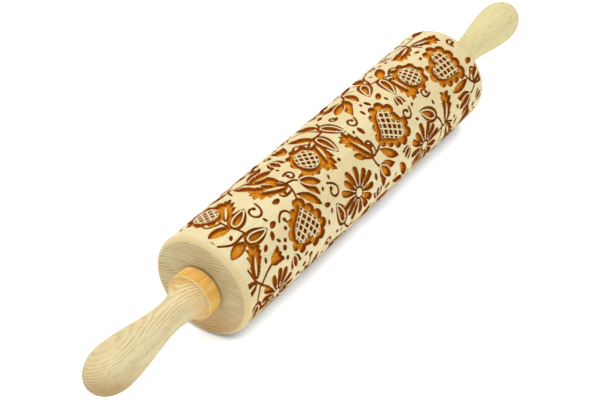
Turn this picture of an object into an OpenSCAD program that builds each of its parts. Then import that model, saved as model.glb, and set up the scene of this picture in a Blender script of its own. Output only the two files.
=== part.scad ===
// Engraved pattern roller: a beech barrel that turns on a steel axle between two turned handles.
// Frame: millimetres, X along the axle, Z up, origin at the middle of the barrel on its axis.

/* [Barrel] */
// Outside diameter of the engraved barrel
barrel_d = 60; // [50:1:75]
// Length of the barrel between its end faces
barrel_l = 240; // [180:5:300]
// Length of the rounded shoulder at each end, along the axle
shoulder_l = 3.6; // [2:0.2:6]
// Depth of the rounded shoulder, towards the axle
shoulder_h = 2.6; // [1.5:0.1:4]

/* [Handles] */
// Diameter of the collar and of the handle's foot
collar_d = 26.6; // [24:0.2:30]
// Length of the collar
collar_l = 9; // [5:0.5:14]
// Diameter of the handle at its neck
neck_d = 16; // [15:0.2:20]
// Distance from the handle's foot to its neck
neck_at = 16; // [12:1:20]
// Diameter of the handle at its widest point
bulb_d = 25.4; // [20:0.2:26.2]
// Distance from the handle's foot to its widest point
bulb_at = 59.5; // [50:0.5:80]
// Length of the handle's rounded end
tip_l = 18; // [12:1:30]

/* [Running gear] */
// Diameter of the steel axle
axle_d = 8; // [8:0.5:10]
// Diameter of the axle's threaded ends
thread_d = 6; // [5:0.5:6]
// Length of each threaded end
thread_l = 18; // [14:1:24]
// Outside diameter of the nylon bushings
bushing_d = 14; // [14:0.5:18]
// Length of the nylon bushings, flange included
bushing_l = 24; // [15:1:40]
// Diameter of the bushings' flange
flange_d = 20; // [19:0.5:24]
// Thickness of the bushings' flange
flange_t = 2; // [1.5:0.1:3]
// Outside diameter of the thrust washers
washer_d = 21; // [18:0.5:24]
// Thickness of the thrust washers
washer_t = 0.8; // [0.6:0.1:1.2]
// Outside diameter of the threaded inserts
insert_d = 9.5; // [9:0.5:11]

/* [Hidden] */
$fn = 96;

running = 0.05;      // radial clearance of the axle in the bushings
glued = 0.02;        // radial gap of a glued or pressed joint
end_play = 0.1;      // axial clearance on each side of a thrust washer
bore_gap = 1;        // radial gap between the axle and the barrel's bore
profile_steps = 24;  // cone faces on each curved stretch of a turned outline
ridge_pitch = 1.5;   // pitch of the ridges that bite the handle's wood
ridge_h = 0.4;       // height of those ridges

barrel_end = barrel_l / 2;
collar_start = barrel_end + washer_t + 2 * end_play;
foot = collar_start + collar_l;
axle_shoulder = foot + 2;
socket_end = axle_shoulder + thread_l + 1;
foot_r = collar_d / 2;
neck_r = neck_d / 2;
bulb_r = bulb_d / 2;

// Half of an outline that is turned about X: points are [distance along X, radius].
module turned(points) {
    rotate([90, 0, 90]) rotate_extrude() polygon([for (p = points) [p[1], p[0]]]);
}

// A ring or a rod about X, from x0 to x1.
module ring(x0, x1, outer_r, inner_r = 0) {
    turned([[x0, inner_r], [x0, outer_r], [x1, outer_r], [x1, inner_r]]);
}

// Draws its child at the right-hand end, or mirrored at the left-hand end.
module at_side(side) {
    if (side == "left") mirror([1, 0, 0]) children();
    else children();
}

function ease(t) = t * t * (3 - 2 * t);

// Quarter-ellipse shoulder of the barrel, from its full radius to its end face.
function shoulder(x, r) = [for (i = [0 : profile_steps / 4])
    let (a = 90 * i / (profile_steps / 4))
    [x - shoulder_l * (1 - sin(a)), r - shoulder_h * (1 - cos(a))]];

module barrel() {
    r = barrel_d / 2;
    right_end = shoulder(barrel_end, r);
    steps = len(right_end);
    left_end = [for (i = [0 : steps - 1]) [-right_end[steps - 1 - i][0], right_end[steps - 1 - i][1]]];
    color("burlywood") difference() {
        turned(concat([[-barrel_end, 0]], left_end, right_end, [[barrel_end, 0]]));
        ring(-barrel_end - 1, barrel_end + 1, axle_d / 2 + bore_gap);
        for (side = ["left", "right"]) at_side(side) {
            ring(barrel_end - bushing_l - 1, barrel_end + 1, bushing_d / 2 + glued);
            ring(barrel_end - flange_t - glued, barrel_end + 1, flange_d / 2 + glued);
        }
    }
}

module axle_rod() {
    body_end = axle_shoulder;
    tip = body_end + thread_l;
    lead_in = 0.8;
    half = [[body_end, axle_d / 2], [body_end, thread_d / 2],
        [tip - lead_in, thread_d / 2], [tip, thread_d / 2 - lead_in]];
    other = [for (i = [len(half) - 1 : -1 : 0]) [-half[i][0], half[i][1]]];
    color("silver") turned(concat([[-tip, 0]], other, half, [[tip, 0]]));
}

module bushing() {
    inner = axle_d / 2 + running;
    color("ivory") union() {
        ring(barrel_end - bushing_l, barrel_end, bushing_d / 2, inner);
        ring(barrel_end - flange_t, barrel_end, flange_d / 2, inner);
    }
}

module thrust_washer() {
    color("dimgray") ring(barrel_end + end_play, barrel_end + end_play + washer_t,
        washer_d / 2, axle_d / 2 + 2 * glued);
}

module collar() {
    color("goldenrod") ring(collar_start, foot, foot_r, axle_d / 2 + glued);
}

// Brass insert: a tube with ridges outside, screwed into the handle's socket.
module threaded_insert() {
    r = insert_d / 2;
    start = axle_shoulder;
    ridges = floor((thread_l - 1) / ridge_pitch);
    outside = [for (i = [0 : ridges - 1], k = [0, 1])
        [start + ridge_pitch * (i + k / 2), r - ridge_h * k]];
    finish = start + ridge_pitch * ridges;
    inner = thread_d / 2 + glued;
    color("gold") turned(concat([[start, inner]], outside, [[finish, r], [finish, inner]]));
}

// Outline of a handle: foot, hollow flare to the neck, swell to the bulb, rounded end.
function flare(t) = foot_r - (foot_r - neck_r) * sqrt(1 - pow(1 - t, 2));
function handle_outline() = concat(
    [for (i = [0 : profile_steps - 1]) let (t = i / profile_steps)
        [foot + neck_at * t, flare(t)]],
    [for (i = [0 : profile_steps - 1]) let (t = i / profile_steps)
        [foot + neck_at + (bulb_at - neck_at) * t, neck_r + (bulb_r - neck_r) * ease(t)]],
    [for (i = [0 : profile_steps]) let (a = 90 * i / profile_steps)
        [foot + bulb_at + tip_l * sin(a), bulb_r * cos(a)]]);

module handle() {
    color("wheat") difference() {
        turned(concat([[foot, 0]], handle_outline()));
        ring(foot - 1, axle_shoulder, axle_d / 2 + glued);
        ring(foot, socket_end, insert_d / 2 + glued);
    }
}

barrel();
axle_rod();
at_side("left") bushing();  // left_bushing
at_side("right") bushing();  // right_bushing
at_side("left") thrust_washer();  // left_thrust_washer
at_side("right") thrust_washer();  // right_thrust_washer
at_side("left") collar();  // left_collar
at_side("right") collar();  // right_collar
at_side("left") threaded_insert();  // left_threaded_insert
at_side("right") threaded_insert();  // right_threaded_insert
at_side("left") handle();  // left_handle
at_side("right") handle();  // right_handle
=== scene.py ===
"""Looks of the engraved pattern roller: a beech barrel cut with folk flowers, and two turned handles.

The pattern is drawn on the unrolled barrel as a signed distance: every motif is a few brush strokes
that are cut into the wood, or kept as raised wood inside a cut. Motifs make up five kinds of sprig,
which are planted on a staggered grid, and small motifs fill the room between them. The barrel's skin
is then pushed in by that distance, so every petal, stem and lattice hole is real geometry.
"""
import math

import bpy
import numpy as np
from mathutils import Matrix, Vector


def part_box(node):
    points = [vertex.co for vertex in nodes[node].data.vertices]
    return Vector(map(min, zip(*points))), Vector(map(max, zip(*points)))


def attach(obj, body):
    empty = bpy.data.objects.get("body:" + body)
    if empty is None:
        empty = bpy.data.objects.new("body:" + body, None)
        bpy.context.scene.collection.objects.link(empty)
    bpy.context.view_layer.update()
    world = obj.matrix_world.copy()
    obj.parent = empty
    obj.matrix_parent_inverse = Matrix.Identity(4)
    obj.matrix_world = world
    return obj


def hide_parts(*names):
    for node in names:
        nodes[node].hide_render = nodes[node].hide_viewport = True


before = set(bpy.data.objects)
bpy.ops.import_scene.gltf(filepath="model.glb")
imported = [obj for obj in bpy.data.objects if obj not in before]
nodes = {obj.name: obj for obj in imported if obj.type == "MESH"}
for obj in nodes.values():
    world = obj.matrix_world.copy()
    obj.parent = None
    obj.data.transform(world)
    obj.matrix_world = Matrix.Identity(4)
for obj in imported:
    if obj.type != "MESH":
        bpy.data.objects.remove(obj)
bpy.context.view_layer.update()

MM = 0.001
TINY = 1e-9          # keeps divisions away from zero

# ---------------------------------------------------------------- sizes, in mm, from the frame
barrel_low, barrel_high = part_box("barrel")
BARREL_R = (barrel_high.y - barrel_low.y) / 2 / MM
BARREL_L = (barrel_high.x - barrel_low.x) / MM
HALF_L = BARREL_L / 2
FLANGE_R = (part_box("left_bushing")[1].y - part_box("left_bushing")[0].y) / 2 / MM
BUSHING_L = (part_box("left_bushing")[1].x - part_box("left_bushing")[0].x) / MM
HANDLE_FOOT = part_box("right_handle")[0].x / MM
HANDLE_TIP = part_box("right_handle")[1].x / MM
SHOULDER_L = 3.6     # length of the rounded shoulder at each end, as on the plain barrel it replaces
SHOULDER_H = 2.6     # how much the radius drops over it
FLANGE_T = 2.0       # thickness of the bushing's flange
BUSHING_R = 7.0      # radius of the bushing's seat
BORE_R = 5.0         # radius of the bore between the bushings
SEAT_GAP = 0.02      # glued gap round the bushing

# ---------------------------------------------------------------- engraving
CUT_DEPTH = 2.0      # depth of the recesses
WALL = 0.4           # width of a recess's sloping wall
PITCH = 0.4    # spacing of the barrel's mesh
FAR = 6.0            # a distance that counts as nowhere near a cut
MARGIN = 3.2         # how far beyond a stroke its distance is worked out
GIRTH = 2 * math.pi * BARREL_R
RIM = 0.5            # width of the plain rim round a lattice panel
STEM = 1.2           # width of stems and tendrils
LINE = 0.9           # width of a raised line between two cuts
GROWTH = 0.13        # how much every cut is widened on each side at the end
FLICK_AT = 0.6       # share of a spine after which its tip flicks
MOST_ROOM = 12.0     # how far round a spot its free room is looked for
FILL_GAP = 1.4       # plain wood left round a small motif that fills a gap
FILL_TRIES = 1200    # places at which each size of small motif is tried
FILL_SIZES = (6, 4.4, 3.2, 1.8, 1.1)    # least radius of the small motifs in each round of filling
FILL_STEPS = (0.75488, 0.56984)         # steps that spread the tried places evenly, as shares of a side
SPRIG_COLUMNS = 6    # sprigs along the barrel
SPRIG_ROWS = 4       # sprigs round it
GOLDEN_TURN = 137.5  # degrees between one heading and the next, which spreads them evenly


class Engraving:
    """Distance in mm to the nearest edge of the cut, over the unrolled barrel. Negative is inside a cut."""

    def __init__(self, columns, pitch):
        self.x = columns
        self.rows = round(GIRTH / pitch)
        self.step = GIRTH / self.rows
        self.distance = np.full((len(columns), self.rows), FAR)

    def window(self, points, reach):
        """The part of the grid within reach of the points: its index, and each cell's x and arc length."""
        points = np.atleast_2d(np.asarray(points, float))
        low, high = points.min(0) - reach, points.max(0) + reach
        first, last = np.searchsorted(self.x, (low[0], high[0]))
        rows = np.arange(math.floor(low[1] / self.step), math.ceil(high[1] / self.step) + 1)
        index = np.ix_(np.arange(first, last), rows % self.rows)
        x, arc = np.meshgrid(self.x[first:last], rows * self.step, indexing="ij")
        return index, x, arc

    def cut(self, points, radii):
        """Cuts a round-ended stroke through the points, with a radius at each point."""
        index, x, arc = self.window(points, np.max(radii) + MARGIN)
        self.distance[index] = np.minimum(self.distance[index], stroke_distance(x, arc, points, radii))

    def keep(self, points, radii):
        """Leaves a round-ended stroke standing inside what has been cut so far."""
        index, x, arc = self.window(points, np.max(radii) + MARGIN)
        self.distance[index] = np.maximum(self.distance[index], -stroke_distance(x, arc, points, radii))

    def overlay(self, points, radii, line):
        """Cuts a stroke that lies over earlier ones, with a raised line round it where they meet."""
        radii = np.asarray(radii, float)
        if line:
            self.keep(points, radii + line)
        self.cut(points, radii)

    def panel(self, outline, holes):
        """Leaves the area in an outline standing, and cuts holes in it: holes(x, arc) is their distance."""
        index, x, arc = self.window(outline, MARGIN)
        edge = area_distance(x, arc, outline)
        raised = np.maximum(self.distance[index], -edge)
        self.distance[index] = np.minimum(raised, np.maximum(holes(x, arc), edge + RIM))

    def room(self, spot):
        """Distance from a spot to the nearest cut, up to MOST_ROOM."""
        index, x, arc = self.window(spot.at(0), MOST_ROOM)
        gap = np.hypot(x - spot.x, arc - spot.arc)
        return float(np.min(gap, where=self.distance[index] < 0, initial=MOST_ROOM))


def segment_gap(x, arc, start, end):
    """Distance to a straight segment, and where along it the nearest point lies, from 0 to 1."""
    along = end - start
    span = max(float(along @ along), TINY)
    t = np.clip(((x - start[0]) * along[0] + (arc - start[1]) * along[1]) / span, 0, 1)
    return np.hypot(x - start[0] - t * along[0], arc - start[1] - t * along[1]), t


def stroke_distance(x, arc, points, radii):
    """Distance to a chain of round-ended segments whose radius changes evenly along each segment."""
    points = np.atleast_2d(np.asarray(points, float))
    radii = np.broadcast_to(radii, len(points))
    nearest = np.hypot(x - points[0, 0], arc - points[0, 1]) - radii[0]
    for start, end, r0, r1 in zip(points[:-1], points[1:], radii[:-1], radii[1:]):
        gap, t = segment_gap(x, arc, start, end)
        nearest = np.minimum(nearest, gap - r0 - (r1 - r0) * t)
    return nearest


def area_distance(x, arc, outline):
    """Signed distance to a closed outline, negative inside."""
    nearest = np.full(x.shape, FAR)
    inside = np.zeros(x.shape, bool)
    for start, end in zip(outline, np.roll(outline, -1, axis=0)):
        gap, _ = segment_gap(x, arc, start, end)
        nearest = np.minimum(nearest, gap)
        run, rise = end - start
        rise = rise if abs(rise) > TINY else TINY
        crosses = (start[1] > arc) != (end[1] > arc)
        inside ^= crosses & (x < start[0] + (arc - start[1]) * run / rise)
    return np.where(inside, -nearest, nearest)


class Spot:
    """A place on the barrel, x and arc length in mm, with a heading in degrees.

    Heading 0 points along +X and heading 90 the way the arc length grows. What is drawn from a spot
    whose hand is -1 comes out mirrored.
    """

    def __init__(self, x, arc, heading=0.0, hand=1):
        self.x = x
        self.arc = arc
        self.heading = heading
        self.hand = hand

    def at(self, ahead, aside=0.0):
        """The point that lies ahead and aside of the spot, in mm, as [x, arc length]."""
        angle = math.radians(self.heading)
        aside = self.hand * aside
        x = self.x + ahead * math.cos(angle) - aside * math.sin(angle)
        arc = self.arc + ahead * math.sin(angle) + aside * math.cos(angle)
        return np.array((x, arc))

    def moved(self, ahead=0.0, aside=0.0, turn=0.0):
        """A spot ahead and aside of this one, with its heading turned."""
        return Spot(*self.at(ahead, aside), self.heading + self.hand * turn, self.hand)

    def spine(self, length, bend=0.0, count=12, flick=0.0):
        """Points along a curve that turns by bend degrees in all, and by flick more near its end."""
        t = (np.arange(count - 1) + 0.5) / (count - 1)
        turns = bend * t + flick * np.clip((t - FLICK_AT) / (1 - FLICK_AT), 0, 1)
        angles = np.radians(self.heading + self.hand * turns)
        steps = length / (count - 1) * np.column_stack((np.cos(angles), np.sin(angles)))
        return self.at(0) + np.vstack(((0, 0), np.cumsum(steps, axis=0)))


def leaf_profile(count, width, peak):
    """Radii of a blade that is pointed at both ends and widest at peak, a share of its length."""
    t = np.linspace(0, 1, count) ** (math.log(0.5) / math.log(peak))
    return np.maximum(width / 2 * np.sin(math.pi * t) ** 0.85, 0.05)


def petal_profile(count, width):
    """Radii of a petal that grows from a narrow root to a blunt round end."""
    root, peak = 0.16, 0.8
    t = np.clip(np.linspace(0, 1, count) / peak, 0, 1)
    return width / 2 * (root + (1 - root) * np.sin(t * math.pi / 2) ** 1.5)


def leaf(spot, length, width, bend=0.0, peak=0.5, flick=0.0, line=0.0):
    """A pointed leaf, widest at peak. With a line it lies over what has been cut before."""
    points = spot.spine(length, bend, flick=flick)
    art.overlay(points, leaf_profile(len(points), width, peak), line)


def petal(spot, length, width, bend):
    """A blunt petal."""
    points = spot.spine(length - width / 2, bend)
    art.cut(points, petal_profile(len(points), width))


def dot(spot, radius):
    """A round berry."""
    art.cut(spot.at(0), radius)


def stem(spot, *places, width=STEM):
    """A smooth stem through places given as (ahead, aside) of the spot: a Catmull-Rom curve."""
    points = np.array([spot.at(ahead, aside) for ahead, aside in places])
    points = np.vstack((2 * points[0] - points[1], points, 2 * points[-1] - points[-2]))
    steps = np.linspace(0, 1, 7)[:-1, None]
    path = []
    for a, b, c, d in zip(points[:-3], points[1:-2], points[2:-1], points[3:]):
        path.append(
            b + (c - a) / 2 * steps
            + (2 * a - 5 * b + 4 * c - d) / 2 * steps ** 2
            + (3 * b - a - 3 * c + d) / 2 * steps ** 3
        )
    art.cut(np.vstack(path + [points[-2:-1]]), width / 2)


def tendril(spot, length, radius, side, berry):
    """A stem that runs ahead and curls to one side, drawing in a little, with a berry at its end."""
    lead, turn, steps = 20, 18, 17
    run = spot.spine(length, lead * side, 8)
    place = run[-1]
    curl = []
    for k in range(steps):
        onward = spot.moved(turn=side * (lead + turn * (k + 0.5)))
        reach = radius * (1 - 0.5 * k / steps) * math.radians(turn)
        place = place + onward.at(reach) - spot.at(0)
        curl.append(place)
    art.cut(np.vstack((run, curl)), STEM / 2)
    art.cut(place, berry)


def daisy(spot, reach, petals, hub, width):
    """A flower of blunt petals round a raised hub."""
    for k in range(petals):
        root = spot.moved(turn=360 * k / petals).moved(hub)
        length = (reach - hub) * (1 + 0.07 * math.sin(2.4 * k))
        petal(root, length, width, 10 * math.sin(1.9 * k))
    art.cut(spot.at(0), hub + 0.95)
    art.keep(spot.at(0), hub)


def lily(spot, length, width, spread, heart, cup):
    """Two rows of pointed petals that flick outward, over them one broad petal with raised edges."""
    art.cut(spot.at(0), cup)
    for side in (-1, 1):
        outer = spot.moved(turn=side * spread / 2)
        leaf(outer, length * 0.74, width, bend=-side * 18, peak=0.45, flick=side * 62)
        inner = spot.moved(length * 0.22, side * heart * 0.3, side * spread * 0.3)
        leaf(inner, length * 0.8, width, bend=-side * 14, flick=side * 58, line=LINE * 0.7)
    leaf(spot.moved(0.4), length, heart, peak=0.45, line=LINE * 0.8)


def tulip(spot, length, width, spread):
    """A cup of three petals: one on each side whose tip flicks outward, and one over them in the middle."""
    art.cut(spot.at(0.3), 1.0)
    for side in (-1, 1):
        outer = spot.moved(0, side * 0.2, side * spread / 2)
        leaf(outer, length, width, bend=-side * 22, peak=0.45, flick=side * 30)
    leaf(spot.moved(0.3), length * 0.92, width, line=LINE)


def bell(spot, length, width, berry):
    """A flared cup with a pointed lip on each side and one in the middle, and a berry before it."""
    radii = width * np.array((0.1, 0.24, 0.33, 0.36, 0.3))
    art.cut(spot.spine(length * 0.55, 0, 5), radii)
    for side in (-1, 1):
        lip = spot.moved(length * 0.25, side * width * 0.16, side * 8)
        leaf(lip, length * 0.8, width * 0.36, bend=side * 20, peak=0.4, flick=side * 50)
    leaf(spot.moved(length * 0.3), length * 0.66, width * 0.34)
    art.cut(spot.at(length + 1.4 + berry), berry)


def toothed_leaf(spot, length, width, bend=0.0):
    """Four curved blades on each side of a raised, pointed eye, and one blade at the tip."""
    blades, eye, body = 4, 1.7, 0.62
    spine = spot.spine(length * body, bend * body, blades)
    for side in (-1, 1):
        for k in range(blades):
            t = k / (blades - 1)
            centre = Spot(*spine[k], spot.heading + spot.hand * bend * body * t, spot.hand)
            start = centre.moved(0, side * 0.5 * eye * math.sin(math.pi * (0.1 + 0.8 * t)), side * 6)
            reach = width * (0.8 + 0.16 * math.sin(math.pi * t))
            leaf(start, reach, width * 0.34, bend=side * 36, flick=side * 26)
    tip = spot.moved(length * 0.55, 0, bend * 0.55)
    leaf(tip, length * 0.45, width * 0.38, bend=bend * 0.45, peak=0.35)
    middle = spot.moved(length * 0.06, 0, bend * 0.06).spine(length * body, bend * body)
    art.keep(middle, leaf_profile(len(middle), eye, 0.45))


def pear(spot, length, width):
    """A bud, round at the root and pointed at the tip, with a lens-shaped petal outlined in it."""
    points = spot.moved(-0.06 * length).spine(length * 1.06, 0, 20)
    art.cut(points, leaf_profile(len(points), width, 0.3))
    leaf(spot, length * 0.86, width * 0.4, peak=0.36, line=LINE * 1.2)


def ringed_bud(spot, radius):
    """A round bud with a raised open ring in it."""
    art.cut(spot.at(0), radius)
    ring = [spot.moved(turn=angle).at(radius * 0.6) for angle in range(20, 321, 20)]
    art.keep(ring, LINE / 2)


def scallops(outline, lobes, radius, band):
    """Round lobes cut along the outside of a closed outline, with a band that joins them."""
    ring = np.vstack((outline, outline[:1]))
    art.cut(ring, band)
    gaps = np.hypot(*(ring[1:] - ring[:-1]).T)
    run = np.concatenate(([0], np.cumsum(gaps)))
    centre = outline.mean(0)
    for k in range(lobes):
        along = run[-1] * ((k + 0.5) / lobes)
        place = np.array((np.interp(along, run, ring[:, 0]), np.interp(along, run, ring[:, 1])))
        away = place - centre
        art.cut(place + 0.9 * away / np.hypot(*away), radius)


def lattice(spot, pitch=3.5, hole=1.18):
    """Square holes, each 2 * hole wide, on a grid that lies slantwise to the spot's heading."""
    angle = math.radians(spot.heading + 45)

    def holes(x, arc):
        u = (x - spot.x) * math.cos(angle) + (arc - spot.arc) * math.sin(angle)
        v = (arc - spot.arc) * math.cos(angle) - (x - spot.x) * math.sin(angle)
        u = np.abs((u / pitch + 0.5) % 1 - 0.5) * pitch - hole
        v = np.abs((v / pitch + 0.5) % 1 - 0.5) * pitch - hole
        return np.maximum(u, v)
    return holes


def small_lattice(spot):
    """A lattice for the middle of a small flower."""
    return lattice(spot, 3.1, 1.02)


def stripes(spot):
    """Long slots side by side along the spot's heading."""
    pitch, hole = 2.0, 0.62
    angle = math.radians(spot.heading)

    def holes(x, arc):
        v = (arc - spot.arc) * math.cos(angle) - (x - spot.x) * math.sin(angle)
        return np.abs((v / pitch + 0.5) % 1 - 0.5) * pitch - hole
    return holes


def heart_outline(spot, width, length):
    """A heart whose point lies ahead of the spot."""
    points = []
    corners = 44
    for k in range(corners):
        a = 2 * math.pi * k / corners
        across = math.sin(a) ** 3
        along = -(13 * math.cos(a) - 5 * math.cos(2 * a) - 2 * math.cos(3 * a) - math.cos(4 * a)) / 14.5
        points.append(spot.at(along * length / 2, across * width / 2))
    return np.array(points)


def round_outline(spot, radius):
    """A circle."""
    return np.array([spot.moved(turn=angle).at(radius) for angle in range(0, 360, 10)])


def lattice_heart(spot, width, length):
    """A heart filled with a lattice, in a scalloped border."""
    border = 3.4
    scallops(heart_outline(spot, width + border, length + border), lobes=14, radius=3.0, band=1.4)
    art.panel(heart_outline(spot, width, length), lattice(spot))


def wheel_flower(spot, radius, lobes, holes):
    """A round flower with a scalloped border and a middle of slots or square holes."""
    scallops(round_outline(spot, radius + 1.5), lobes, radius=radius * 0.32, band=1.3)
    art.panel(round_outline(spot, radius), holes(spot))


def fan(spot, length, width, bend):
    """Five fingers that spread from one root and then run side by side, with raised lines between them."""
    fingers, spread = 5, 88
    for k in range(2 * fingers - 1):
        share = k / (2 * fingers - 2)
        start = spot.moved(0.4, 0, (share - 0.5) * spread)
        reach = length * (1 - 0.3 * share ** 1.5)
        turned = bend - 0.8 * (share - 0.5) * spread
        if k % 2:
            art.keep(start.moved(1.0).spine(reach, turned), LINE * 1.25 / 2)
        else:
            petal(start, reach, width, turned)


# Each sprig fills a disc of about 22 mm round its spot and grows ahead from the disc's back edge.
def heart_sprig(spot):
    """A lattice heart over a toothed leaf, a tulip and three plain leaves."""
    stem(spot, (-22, 3), (-17, -1), (-11, -1.5), (-4, 0))
    lattice_heart(spot.moved(8.5, 0, 180), 20, 20)
    toothed_leaf(spot.moved(-15, -1, 104), 23, 11)
    leaf(spot.moved(-20, 2, 132), 9, 4.2)
    stem(spot, (-17, -1), (-17, -6), (-15.5, -9))
    tulip(spot.moved(-15.5, -9, -66), 14, 5.0, 76)
    leaf(spot.moved(-9, -2, -62), 17, 5.2, 20)
    tendril(spot.moved(-12, -1, 62), 5.5, 2.4, 1, 1.3)


def daisy_sprig(spot):
    """A daisy over two toothed leaves, a bud and a bell."""
    stem(spot, (-22, -2), (-16, 1), (-10, 1), (-3, 0))
    daisy(spot.moved(9, 0, 8), 14.5, petals=13, hub=2.6, width=3.8)
    toothed_leaf(spot.moved(-14, 1.5, 122), 19, 9.8, -20)
    toothed_leaf(spot.moved(-15, 0, -118), 18, 9.6, 20)
    stem(spot, (-11, 1), (-9, 7), (-5, 12))
    pear(spot.moved(-5, 12, 40), 13, 9.4)
    stem(spot, (-10, 1), (-9, -6), (-7, -12))
    bell(spot.moved(-7, -12, -60), 9.0, 9.5, 1.5)


def lily_sprig(spot):
    """A large lily with berries on long stalks, over two bells and a fan."""
    stem(spot, (-22, 1), (-17, -2), (-10, -1), (-3, 0))
    lily(spot.moved(-3), 21, 5.6, spread=112, heart=7.0, cup=1.8)
    for side in (-1, 1):
        stem(spot, (12, side * 2.4), (17, side * 3.6), (21, side * 6.2), width=1.0)
        dot(spot.moved(21.5, side * 6.4), 1.6)
    dot(spot.moved(21.5), 1.6)
    stem(spot, (-11, -1), (-9, 7), (-6.5, 12))
    bell(spot.moved(-6.5, 12, 40), 11, 11.5, 1.6)
    fan(spot.moved(-12, -2, -80), 19, 3.8, 26)
    leaf(spot.moved(-18, -1, 128), 15, 5.2, -24)
    leaf(spot.moved(-15, -1.5, 98), 15, 5.0, -24)
    tendril(spot.moved(-7, -1, -46), 6.5, 2.8, -1, 1.4)


def wheel_sprig(spot):
    """A round flower with a striped middle between a fan and a tulip, with leaves at its foot."""
    stem(spot, (-22, -1), (-15, 2), (-8, 1), (-3, 0))
    wheel_flower(spot.moved(8.5, 0, 38), 8.0, 10, stripes)
    fan(spot.moved(-10, 2, 100), 20, 3.9, -22)
    leaf(spot.moved(-16, 2, 136), 14, 5.0, -20)
    stem(spot, (-15, 2), (-14, -5), (-11, -9))
    tulip(spot.moved(-11, -9, -52), 16, 5.6, 80)
    leaf(spot.moved(-16, -1, -112), 14, 4.8, 20)
    leaf(spot.moved(-12, -6, -104), 13, 4.2, 24)
    tendril(spot.moved(-5, 0, -66), 4.0, 2.4, 1, 1.4)


def garland_sprig(spot):
    """A long stem with leaves and buds on alternate sides, and a lattice rosette at its end."""
    stem(spot, (-22, 2), (-14, -3), (-4, 1), (4, 1))
    wheel_flower(spot.moved(12, 0, 12), 7.0, 9, small_lattice)
    for ahead, turn in ((-17, 92), (-6, 70)):
        leaf(spot.moved(ahead, 0, turn), 15, 6.0, 20)
        pear(spot.moved(ahead, -2, -turn), 14, 9.0)
    ringed_bud(spot.moved(-7.5, 19), 3.8)
    stem(spot, (-13, -2), (-14, 8), (-10, 16))
    toothed_leaf(spot.moved(-1, -1, -54), 20, 10, 20)
    tendril(spot.moved(0, 2, 82), 6.0, 3.0, -1, 1.5)


SPRIGS = (heart_sprig, daisy_sprig, lily_sprig, wheel_sprig, garland_sprig)


def plant_sprigs():
    """One sprig in each cell of a staggered grid, so that no two neighbours are the same kind."""
    for column in range(SPRIG_COLUMNS):
        for row in range(SPRIG_ROWS):
            x = BARREL_L * ((column + 0.5) / SPRIG_COLUMNS - 0.5)
            arc = GIRTH * (0.5 + (row + column / 2) / SPRIG_ROWS)
            heading = GOLDEN_TURN * (SPRIG_ROWS * column + row)
            hand = 1 if (column + row) % 2 else -1
            SPRIGS[(column + 2 * row) % len(SPRIGS)](Spot(x, arc, heading, hand))


def filler(spot, reach, kind):
    """A small motif, one of four kinds, that fills a disc of this radius round the spot."""
    back = spot.moved(-reach)
    if reach > 6 and kind == 0:
        daisy(spot, min(reach, 8.5), petals=10, hub=1.8, width=3.2)
    elif reach > 5 and kind == 1:
        toothed_leaf(back, 2 * reach, 1.2 * reach)
    elif reach > 4 and kind == 2:
        bell(back, 1.6 * reach, 1.8 * reach, berry=1.3)
    elif reach > 2.9 and kind in (1, 3):
        tendril(back, 0.8 * reach, 0.72 * reach, side=1, berry=1.1)
    elif reach > 3.2:
        tulip(back, 2 * reach, 0.8 * reach, spread=76)
    elif reach > 1.3:
        leaf(back, 2 * reach, 1.1 * reach, bend=24)
    else:
        dot(spot, reach)


def fill_gaps():
    """Small motifs wherever the sprigs leave room, the largest ones first."""
    reach_x = HALF_L - SHOULDER_L - 3
    for least in FILL_SIZES:
        for k in range(FILL_TRIES):
            share_x, share_arc = (k * step % 1 for step in FILL_STEPS)
            spot = Spot((2 * share_x - 1) * reach_x, GIRTH * share_arc, GOLDEN_TURN * k)
            reach = art.room(spot) - FILL_GAP
            if reach > least:
                filler(spot, reach, k % 4)


def engrave():
    """Draws the whole pattern, and ends it where the shoulders begin."""
    plant_sprigs()
    fill_gaps()
    past_shoulder = np.abs(art.x)[:, None] - (HALF_L - SHOULDER_L)
    art.distance = np.maximum(art.distance - GROWTH, past_shoulder)


def barrel_columns():
    """x of each ring of the skin: even over the engraved part, closer together round the shoulders."""
    reach = HALF_L - SHOULDER_L
    even = np.linspace(-reach, reach, round(2 * reach / PITCH) + 1)
    bend = reach + SHOULDER_L * np.sin(np.linspace(0, math.pi / 2, 10)[1:])
    return np.concatenate((-bend[::-1], even, bend))


art = Engraving(barrel_columns(), PITCH)
engrave()

# ---------------------------------------------------------------- the barrel's mesh
SNAP_REACH = 0.5     # share of a row's step within which a grid point moves onto a cut's edge
SNAP_LIMIT = 0.45    # share of a row's step that it may move along each axis
SNAP_SLOPE = 0.6     # least slope of the distance at which the edge is clear enough for that


def snapped_grid():
    """Moves grid points that lie close to a cut's edge onto it, so that edges come out clean."""
    x, arc = np.meshgrid(art.x, np.arange(art.rows) * art.step, indexing="ij")
    distance = art.distance.copy()
    ahead = np.roll(distance, -1, axis=1) - np.roll(distance, 1, axis=1)
    slope_arc = ahead / (2 * art.step)
    slope_x = np.gradient(distance, art.x, axis=0)
    steep = np.hypot(slope_x, slope_arc)
    near = (np.abs(distance) < SNAP_REACH * art.step) & (steep > SNAP_SLOPE)
    near &= np.abs(x) < HALF_L - SHOULDER_L - PITCH
    shift = np.where(near, -distance / np.maximum(steep, SNAP_SLOPE) ** 2, 0)
    limit = SNAP_LIMIT * art.step
    x = x + np.clip(shift * slope_x, -limit, limit)
    arc = arc + np.clip(shift * slope_arc, -limit, limit)
    return x, arc, np.where(near, 0.0, distance)


def shoulder_radius(x):
    """Radius of the uncut barrel: full, then a quarter ellipse down to each end face."""
    t = np.clip((np.abs(x) - HALF_L + SHOULDER_L) / SHOULDER_L, 0, 1)
    return BARREL_R - SHOULDER_H * (1 - np.sqrt(1 - t ** 2))


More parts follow.
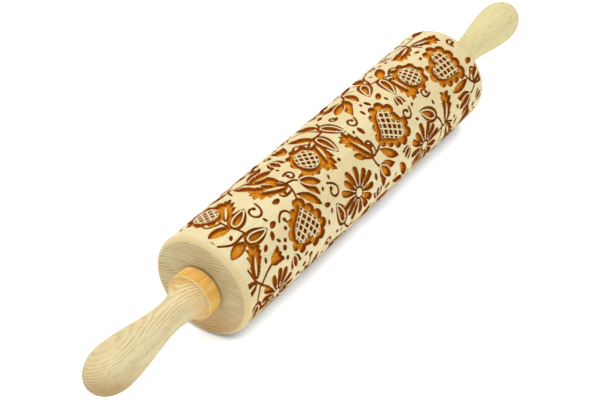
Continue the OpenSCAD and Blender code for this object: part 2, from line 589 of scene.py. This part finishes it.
def cut_depth(distance):
    """Depth of the recess at a distance from its edge: a steep wall, then an even floor."""
    t = np.clip(-distance / WALL, 0, 1)
    return CUT_DEPTH * np.sin(t * math.pi / 2)


def bore_profile():
    """[x, radius] from the left end face in through the bore and out to the right end face."""
    end_r = BARREL_R - SHOULDER_H
    half = [(HALF_L, end_r - (end_r - FLANGE_R - SEAT_GAP) * k / 4) for k in range(1, 5)]
    half += [(HALF_L - FLANGE_T - SEAT_GAP, FLANGE_R + SEAT_GAP)]
    half += [(HALF_L - FLANGE_T - SEAT_GAP, BUSHING_R + SEAT_GAP)]
    half += [(HALF_L - BUSHING_L - 1, BUSHING_R + SEAT_GAP)]
    half += [(HALF_L - BUSHING_L - 1, BORE_R)]
    return np.array(half + [(-x, r) for x, r in reversed(half)])


def closed_surface():
    """x, radius, angle and distance of every point of the barrel: its skin, then its ends and bore."""
    x, arc, distance = snapped_grid()
    bore = bore_profile()
    shape = (len(bore), art.rows)
    bore_angle = np.broadcast_to(np.arange(art.rows) * art.step / BARREL_R, shape)
    radius = np.vstack((shoulder_radius(x) - cut_depth(distance), np.broadcast_to(bore[:, 1:], shape)))
    angle = np.vstack((arc / BARREL_R, bore_angle))
    x = np.vstack((x, np.broadcast_to(bore[:, :1], shape)))
    distance = np.vstack((distance, np.full(shape, FAR)))
    return x, radius, angle, distance


def triangles(radius):
    """Two triangles for each cell of the closed surface, split along its more level diagonal."""
    number = np.arange(radius.size).reshape(radius.shape)
    a, b = number, np.roll(number, -1, axis=0)
    c, d = np.roll(b, -1, axis=1), np.roll(a, -1, axis=1)
    height = radius.ravel()
    split_ac = (np.abs(height[a] - height[c]) <= np.abs(height[b] - height[d]))[..., None]
    one = np.where(split_ac, np.stack((a, b, c), -1), np.stack((a, b, d), -1))
    two = np.where(split_ac, np.stack((a, c, d), -1), np.stack((b, c, d), -1))
    return np.concatenate((one.reshape(-1, 3), two.reshape(-1, 3)))


def barrel_piece():
    """The engraved barrel as one closed mesh. Its inset attribute is the distance in from a cut's edge."""
    x, radius, angle, distance = closed_surface()
    points = np.stack((x, -radius * np.sin(angle), radius * np.cos(angle)), -1) * MM
    faces = triangles(radius)
    past_skin = np.arange(x.size) >= (len(art.x) - 1) * art.rows
    slots = np.tile(past_skin, 2).astype(np.int32)
    mesh = bpy.data.meshes.new("engraved_barrel")
    mesh.vertices.add(x.size)
    mesh.vertices.foreach_set("co", points.astype(np.float32).ravel())
    mesh.loops.add(faces.size)
    mesh.loops.foreach_set("vertex_index", faces.astype(np.int32).ravel())
    mesh.polygons.add(len(faces))
    mesh.polygons.foreach_set("loop_start", np.arange(0, faces.size, 3, dtype=np.int32))
    mesh.polygons.foreach_set("material_index", slots)
    mesh.update(calc_edges=True)
    mesh.validate()
    inset = mesh.attributes.new("inset", "FLOAT", "POINT")
    inset.data.foreach_set("value", np.clip(-distance, -1, 3).astype(np.float32).ravel())
    mesh.polygons.foreach_set("use_smooth", slots == 0)
    piece = bpy.data.objects.new("engraved_barrel", mesh)
    bpy.context.scene.collection.objects.link(piece)
    return piece


# ---------------------------------------------------------------- materials
class Graph:
    """A short way to build a node material. Values may be numbers, colours or node outputs."""

    def __init__(self, name):
        self.material = bpy.data.materials.new(name)
        self.material.use_nodes = True
        self.tree = self.material.node_tree
        self.tree.nodes.clear()
        self.shader = self.tree.nodes.new("ShaderNodeBsdfPrincipled")
        out = self.tree.nodes.new("ShaderNodeOutputMaterial")
        self.tree.links.new(self.shader.outputs[0], out.inputs["Surface"])

    def put(self, socket, value):
        """Links an output to a socket, or sets its plain value."""
        if isinstance(value, bpy.types.NodeSocket):
            self.tree.links.new(value, socket)
        else:
            socket.default_value = value

    def coordinates(self):
        """Place in the row frame, in mm."""
        node = self.tree.nodes.new("ShaderNodeTexCoord")
        return self.vector("SCALE", node.outputs["Object"], scale=1 / MM)

    def vector(self, operation, a, b=None, scale=None):
        """Vector arithmetic on places."""
        node = self.tree.nodes.new("ShaderNodeVectorMath")
        node.operation = operation
        self.put(node.inputs[0], a)
        if b is not None:
            self.put(node.inputs[1], b)
        if scale is not None:
            self.put(node.inputs["Scale"], scale)
        return node.outputs["Value" if operation == "LENGTH" else "Vector"]

    def stretched(self, place, x, y, z):
        """A place with each coordinate multiplied: a small factor makes a noise long that way."""
        return self.vector("MULTIPLY", place, (x, y, z))

    def math(self, operation, a, b=0.0, c=0.0):
        """Arithmetic on numbers."""
        node = self.tree.nodes.new("ShaderNodeMath")
        node.operation = operation
        for socket, value in zip(node.inputs, (a, b, c)):
            self.put(socket, value)
        return node.outputs[0]

    def axis(self, place, name):
        """One coordinate of a place: X, Y or Z."""
        node = self.tree.nodes.new("ShaderNodeSeparateXYZ")
        self.put(node.inputs[0], place)
        return node.outputs[name]

    def noise(self, place, detail=3.0, roughness=0.55):
        """Smooth noise of about 0 to 1, with a grain of one unit of the place."""
        node = self.tree.nodes.new("ShaderNodeTexNoise")
        self.put(node.inputs["Vector"], place)
        node.inputs["Scale"].default_value = 1.0
        node.inputs["Detail"].default_value = detail
        node.inputs["Roughness"].default_value = roughness
        return node.outputs["Fac"]

    def ramp(self, value, low, high, to_low=0.0, to_high=1.0):
        """Maps value smoothly from low..high to to_low..to_high."""
        node = self.tree.nodes.new("ShaderNodeMapRange")
        node.interpolation_type = "SMOOTHSTEP"
        for name, number in (("From Min", low), ("From Max", high), ("To Min", to_low), ("To Max", to_high)):
            node.inputs[name].default_value = number
        self.put(node.inputs["Value"], value)
        return node.outputs["Result"]

    def mix(self, share, a, b):
        """Colour a where the share is 0 and colour b where it is 1."""
        node = self.tree.nodes.new("ShaderNodeMix")
        node.data_type = "RGBA"
        self.put(node.inputs[0], share)
        self.put(node.inputs[6], colour(a))
        self.put(node.inputs[7], colour(b))
        return node.outputs[2]

    def attribute(self, name):
        """A number stored at the mesh's points."""
        node = self.tree.nodes.new("ShaderNodeAttribute")
        node.attribute_name = name
        return node.outputs["Fac"]

    def bump(self, height, distance):
        """Fine relief, distance mm high, for grain too small to model."""
        node = self.tree.nodes.new("ShaderNodeBump")
        node.inputs["Distance"].default_value = distance * MM
        self.put(node.inputs["Height"], height)
        self.tree.links.new(node.outputs["Normal"], self.shader.inputs["Normal"])

    def finish(self, base, roughness, **sockets):
        """Sets the surface and returns the material. Other sockets are named with _ for a space."""
        self.put(self.shader.inputs["Base Color"], colour(base))
        self.put(self.shader.inputs["Roughness"], roughness)
        for name, value in sockets.items():
            self.put(self.shader.inputs[name.replace("_", " ")], value)
        return self.material


def colour(value):
    """A hex colour as linear RGBA. Anything else passes through."""
    if not isinstance(value, str):
        return value
    parts = [int(value[k:k + 2], 16) / 255 for k in (1, 3, 5)]
    return (*[p / 12.92 if p <= 0.04045 else ((p + 0.055) / 1.055) ** 2.4 for p in parts], 1.0)


def wood_grain(graph, pith, ring_width, wander, seed):
    """Growth rings round a pith that runs along X, and fibres, flecks and clouds along the grain.

    The pith is (y, z) in mm. Wander is how far, in mm, the rings stray from true circles.
    """
    place = graph.coordinates()
    shifted = graph.vector("ADD", place, (97.0 * seed, 31.0 * seed, -53.0 * seed))
    across = graph.stretched(graph.vector("SUBTRACT", place, (0, *pith)), 0, 1, 1)
    sway = graph.noise(graph.stretched(shifted, 0.013, 0.03, 0.03), 2.0)
    ripple = graph.noise(graph.stretched(shifted, 0.03, 0.35, 0.35), 1.0)
    radius = graph.math("MULTIPLY_ADD", sway, wander, graph.vector("LENGTH", across))
    radius = graph.math("MULTIPLY_ADD", ripple, 0.6 * ring_width, radius)
    band = graph.math("FRACT", graph.math("DIVIDE", radius, ring_width))
    rings = graph.math("MULTIPLY", graph.ramp(band, 0.15, 0.8), graph.ramp(band, 1.0, 0.86))
    fibres = graph.noise(graph.stretched(shifted, 0.05, 1.7, 1.7), 4.0, 0.6)
    flecks = graph.noise(graph.stretched(shifted, 0.42, 3.1, 3.1), 1.0)
    clouds = graph.noise(graph.stretched(shifted, 0.010, 0.05, 0.05), 2.0)
    return rings, fibres, flecks, clouds


def beech(name, pith, pale, warm, fleck, ring_width, ring_share, seed, wander):
    """Sanded beech seen along the grain: the graph, its base colour, its roughness and its rings."""
    graph = Graph(name)
    rings, fibres, flecks, clouds = wood_grain(graph, pith, ring_width, wander, seed)
    base = graph.mix(graph.ramp(clouds, 0.36, 0.64, 0.0, 0.5), pale, warm)
    uneven = graph.noise(graph.stretched(graph.coordinates(), 0.03, 0.4, 0.4), 2.0)
    lines = graph.math("MULTIPLY", rings, graph.ramp(uneven, 0.35, 0.65, 0.15 * ring_share, ring_share))
    base = graph.mix(lines, base, warm)
    base = graph.mix(graph.ramp(fibres, 0.5, 0.78, 0.0, 0.35), base, warm)
    base = graph.mix(graph.ramp(flecks, 0.63, 0.76, 0.0, 0.6), base, fleck)
    rough = graph.math("MULTIPLY_ADD", fibres, 0.2, 0.45)
    height = graph.math("SUBTRACT", graph.math("MULTIPLY", fibres, 0.6), graph.ramp(flecks, 0.63, 0.76))
    graph.bump(height, 0.05)
    return graph, base, rough, rings


def handle_beech(side):
    """Handle wood: ring lines along it, orange dashes, warm streaks by the foot, and painted shade that
    browns the lower side of the tip, darkest on its ring lines.
    """
    name = "handle_beech_" + side
    if side == "left":
        graph, base, rough, rings = beech(
            name, pith=(-26, -54), pale="#D4C8A0", warm="#BEA672", fleck="#B98A42",
            ring_width=1.25, ring_share=0.95, seed=3.1, wander=3.0)
        streak, tip_shade_share = "#C8963C", 0.9
    else:
        graph, base, rough, rings = beech(
            name, pith=(-30, -40), pale="#D2C895", warm="#C0AF78", fleck="#A98A50",
            ring_width=1.5, ring_share=0.45, seed=7.7, wander=6.0)
        streak, tip_shade_share = "#B08F50", 0.25
    place = graph.coordinates()
    out = graph.math("ABSOLUTE", graph.axis(place, "X"))
    up = graph.axis(place, "Z")
    foot = graph.ramp(out, HANDLE_FOOT + 12, HANDLE_FOOT, 0.0, 0.9)
    base = graph.mix(graph.math("MULTIPLY", foot, rings), base, streak)
    blotch = graph.noise(graph.stretched(place, 0.12, 0.1, 0.1), 1.0)
    patch = graph.math("MULTIPLY", foot, graph.ramp(blotch, 0.5, 0.62, 0.0, 0.7))
    base = graph.mix(patch, base, streak)
    dashes = graph.noise(graph.stretched(place, 0.15, 1.1, 1.1), 0.0)
    base = graph.mix(graph.ramp(dashes, 0.73, 0.79, 0.0, 0.6), base, streak)
    # Painted shade: the lower side of the tip, near its end, is darkened to brown, most along the ring
    # lines.
    tip = graph.math("MULTIPLY", graph.ramp(out, HANDLE_TIP - 32, HANDLE_TIP - 4), graph.ramp(up, 12, -6))
    painted_tip_shade = graph.math("MULTIPLY", tip, graph.ramp(rings, 0.0, 1.0, 0.6 * tip_shade_share, tip_shade_share))
    base = graph.mix(painted_tip_shade, base, "#7E560A")
    return graph.finish(base, rough, Specular_IOR_Level=0.3)


def collar_wood():
    """Honey-coloured collar wood, with a painted highlight: paler along the edge where the handle's foot
    meets it.
    """
    graph, base, rough, _ = beech(
        "collar_wood", pith=(24, 60), pale="#E2B860", warm="#C08836", fleck="#A8641C",
        ring_width=1.5, ring_share=0.8, seed=11.3, wander=20.0)
    place = graph.coordinates()
    out = graph.math("ABSOLUTE", graph.axis(place, "X"))
    # Painted highlight: a pale band along the collar's edge where the handle's foot meets it.
    base = graph.mix(graph.ramp(out, HANDLE_FOOT - 1.3, HANDLE_FOOT - 0.4, 0.0, 0.7), base, "#D8C493")
    return graph.finish(base, rough, Specular_IOR_Level=0.4)


BARREL_PITH = (-20, -144)
BARREL_SEED = 0.4


def engraved_beech():
    """Barrel wood: pale and sanded on top, scorched dark on the walls of a cut and orange on its floor."""
    graph, base, rough, _ = beech(
        "engraved_beech", BARREL_PITH, pale="#D9CDA2", warm="#CDB885", fleck="#B8935A",
        ring_width=2.0, ring_share=0.42, seed=BARREL_SEED, wander=12.0)
    inset = graph.attribute("inset")
    place = graph.coordinates()
    out = graph.math("ABSOLUTE", graph.axis(place, "X"))
    base = graph.mix(graph.ramp(out, HALF_L - SHOULDER_L - 1, HALF_L - 1, 0.0, 0.6), base, "#C8B280")
    soot = graph.noise(graph.stretched(place, 0.25, 0.4, 0.4), 3.0)
    fine = graph.noise(graph.stretched(place, 0.4, 2.4, 2.4), 3.0)
    depth = graph.math("ADD", inset, graph.math("MULTIPLY_ADD", soot, 1.4, -0.7))
    burnt = graph.mix(graph.ramp(inset, 0.2, 0.6), "#762A02", "#A65806")
    burnt = graph.mix(graph.ramp(depth, 0.3, 1.9), burnt, "#DC942A")
    burnt = graph.mix(graph.ramp(fine, 0.4, 0.64, 0.0, 0.7), burnt, "#9A5608")
    base = graph.mix(graph.ramp(inset, -0.15, 0.05, 0.0, 0.25), base, "#B98A45")
    base = graph.mix(graph.ramp(inset, -0.05, 0.1), base, burnt)
    rough = graph.mix(graph.ramp(inset, 0.0, 0.15), rough, (0.85, 0.85, 0.85, 1))
    gloss = graph.ramp(inset, 0.0, 0.15, 0.25, 0.03)
    return graph.finish(base, rough, Specular_IOR_Level=gloss)


def end_grain():
    """The barrel's end faces: fine, nearly straight ring lines on tan end grain."""
    graph = Graph("end_grain")
    rings, _, _, clouds = wood_grain(graph, BARREL_PITH, ring_width=1.9, wander=9.0, seed=BARREL_SEED)
    place = graph.coordinates()
    pores = graph.noise(graph.stretched(place, 1.0, 3.5, 3.5), 2.0)
    base = graph.mix(graph.ramp(clouds, 0.35, 0.65), "#CCC09A", "#C0AE86")
    low = graph.ramp(graph.axis(place, "Z"), -4, -26, 0.0, 0.7)
    base = graph.mix(low, base, "#CCA872")
    uneven = graph.noise(graph.stretched(place, 0.0, 0.06, 0.3), 2.0)
    lines = graph.math("MULTIPLY", rings, graph.ramp(uneven, 0.35, 0.65, 0.25, 0.75))
    base = graph.mix(lines, base, graph.mix(low, "#A08650", "#AC7C3A"))
    base = graph.mix(graph.ramp(pores, 0.55, 0.75, 0.0, 0.35), base, "#97763F")
    graph.bump(graph.math("ADD", rings, pores), 0.06)
    return graph.finish(base, graph.math("MULTIPLY_ADD", pores, 0.15, 0.62), Specular_IOR_Level=0.25)


def brushed_steel():
    """Drawn steel, with fine rings round the rod."""
    graph = Graph("axle_steel")
    lines = graph.noise(graph.stretched(graph.coordinates(), 4.0, 0.6, 0.6), 3.0)
    base = graph.mix(graph.ramp(lines, 0.35, 0.7), "#B8BABD", "#8E9094")
    graph.bump(lines, 0.02)
    return graph.finish(base, graph.math("MULTIPLY_ADD", lines, 0.25, 0.25), Metallic=1.0)


def natural_nylon():
    """Uncoloured nylon, off-white and slightly cloudy."""
    graph = Graph("bushing_nylon")
    cloud = graph.noise(graph.stretched(graph.coordinates(), 0.3, 0.3, 0.3), 3.0)
    fine = graph.noise(graph.stretched(graph.coordinates(), 5.0, 5.0, 5.0), 2.0)
    graph.bump(fine, 0.03)
    return graph.finish(graph.mix(cloud, "#EDE8DA", "#DED7C4"), graph.math("MULTIPLY_ADD", fine, 0.2, 0.35))


def pressed_fibre():
    """Dark pressed fibre."""
    graph = Graph("washer_fibre")
    fine = graph.noise(graph.stretched(graph.coordinates(), 2.0, 4.0, 4.0), 4.0)
    graph.bump(fine, 0.05)
    return graph.finish(graph.mix(fine, "#2E1A10", "#4E2F1C"), graph.math("MULTIPLY_ADD", fine, 0.2, 0.7))


def machined_brass():
    """Brass with fine turning marks."""
    graph = Graph("insert_brass")
    lines = graph.noise(graph.stretched(graph.coordinates(), 5.0, 0.7, 0.7), 3.0)
    graph.bump(lines, 0.02)
    base = graph.mix(graph.ramp(lines, 0.3, 0.7), "#D8B25E", "#B98E3C")
    return graph.finish(base, graph.math("MULTIPLY_ADD", lines, 0.25, 0.22), Metallic=1.0)


def paint(piece, *materials):
    """Gives a piece its materials, in slot order."""
    if piece.data.materials:
        piece.data.materials.clear()
    for material in materials:
        piece.data.materials.append(material)


# ---------------------------------------------------------------- pieces
barrel = barrel_piece()
paint(barrel, engraved_beech(), end_grain())
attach(barrel, "barrel")
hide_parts("barrel")

collar_material = collar_wood()
brass, nylon, fibre = machined_brass(), natural_nylon(), pressed_fibre()
paint(nodes["axle_rod"], brushed_steel())
for side in ("left", "right"):
    paint(nodes[side + "_handle"], handle_beech(side))
    paint(nodes[side + "_collar"], collar_material)
    paint(nodes[side + "_threaded_insert"], brass)
    paint(nodes[side + "_bushing"], nylon)
    paint(nodes[side + "_thrust_washer"], fibre)

# ---------------------------------------------------------------- floor, light and camera
FLOOR_SIDE = 6.0                        # metres
FLOOR_SEEN = (0.84, 0.88, 0.92, 1)      # what the camera sees: its blue cancels the wood's warm light
FLOOR_BOUNCE = (0.47, 0.47, 0.47, 1)    # what the wood gets back: darker, so that its lower side keeps shade
SKY_COLOUR = (1.0, 0.99, 0.97, 1)
SENSOR_WIDTH = 36                       # mm
CAMERA_LENS = 96.45                     # mm
CAMERA_AZIMUTH = -55.47                 # degrees round from looking along +Y
CAMERA_ELEVATION = 37.98
CAMERA_DISTANCE = 0.897                 # metres from the middle of the barrel, along the line of sight
CAMERA_RIGHT = 0.0175                   # the barrel's middle lies this far right of the picture's middle
CAMERA_UP = 0.0160                      # and this far above it


def floor():
    """A plain white table under the barrel."""
    mesh = bpy.data.meshes.new("floor")
    half = FLOOR_SIDE / 2
    z = -BARREL_R * MM
    corners = [(-half, -half, z), (half, -half, z), (half, half, z), (-half, half, z)]
    mesh.from_pydata(corners, [], [(0, 1, 2, 3)])
    ground = bpy.data.objects.new("floor", mesh)
    bpy.context.scene.collection.objects.link(ground)
    graph = Graph("floor_paint")
    seen = graph.tree.nodes.new("ShaderNodeLightPath").outputs["Is Camera Ray"]
    mesh.materials.append(graph.finish(graph.mix(seen, FLOOR_BOUNCE, FLOOR_SEEN), 0.9))
    return ground


def area_light(name, place, size, power):
    """A square soft box that faces the middle of the barrel: metres and watts."""
    data = bpy.data.lights.new(name, "AREA")
    data.size = size
    data.energy = power
    lamp = bpy.data.objects.new(name, data)
    lamp.location = place
    lamp.rotation_euler = (-Vector(place)).to_track_quat("-Z", "Y").to_euler()
    bpy.context.scene.collection.objects.link(lamp)
    return lamp


def table_light(ground):
    """A wide soft box straight above that lights the table and nothing else."""
    lamp = area_light("table", place=(0, 0, 1.4), size=2.6, power=88)
    only = bpy.data.collections.new("lit_by_table_light")
    only.objects.link(ground)
    lamp.light_linking.receiver_collection = only


def sky(strength):
    """Even light from all round."""
    world = bpy.data.worlds.new("studio")
    world.use_nodes = True
    background = world.node_tree.nodes["Background"]
    background.inputs["Color"].default_value = SKY_COLOUR
    background.inputs["Strength"].default_value = strength
    bpy.context.scene.world = world


def camera():
    """Looks down along the roller from beyond its left end."""
    a, e = math.radians(CAMERA_AZIMUTH), math.radians(CAMERA_ELEVATION)
    back = Vector((math.sin(a) * math.cos(e), -math.cos(a) * math.cos(e), math.sin(e)))
    right = Vector((math.cos(a), math.sin(a), 0))
    up = back.cross(right)
    data = bpy.data.cameras.new("camera")
    data.lens = CAMERA_LENS
    data.sensor_width = SENSOR_WIDTH
    eye = bpy.data.objects.new("camera", data)
    eye.location = back * CAMERA_DISTANCE - right * CAMERA_RIGHT - up * CAMERA_UP
    eye.rotation_mode = "QUATERNION"
    eye.rotation_quaternion = back.to_track_quat("Z", "Y")
    bpy.context.scene.collection.objects.link(eye)
    bpy.context.scene.camera = eye


table_light(floor())
sky(strength=0.74)
area_light("key", place=(-0.1, 0.55, 1.4), size=0.6, power=13)
area_light("front", place=(-0.5, -1.2, 1.3), size=1.2, power=6)
camera()
bpy.context.scene.view_settings.view_transform = "Standard"
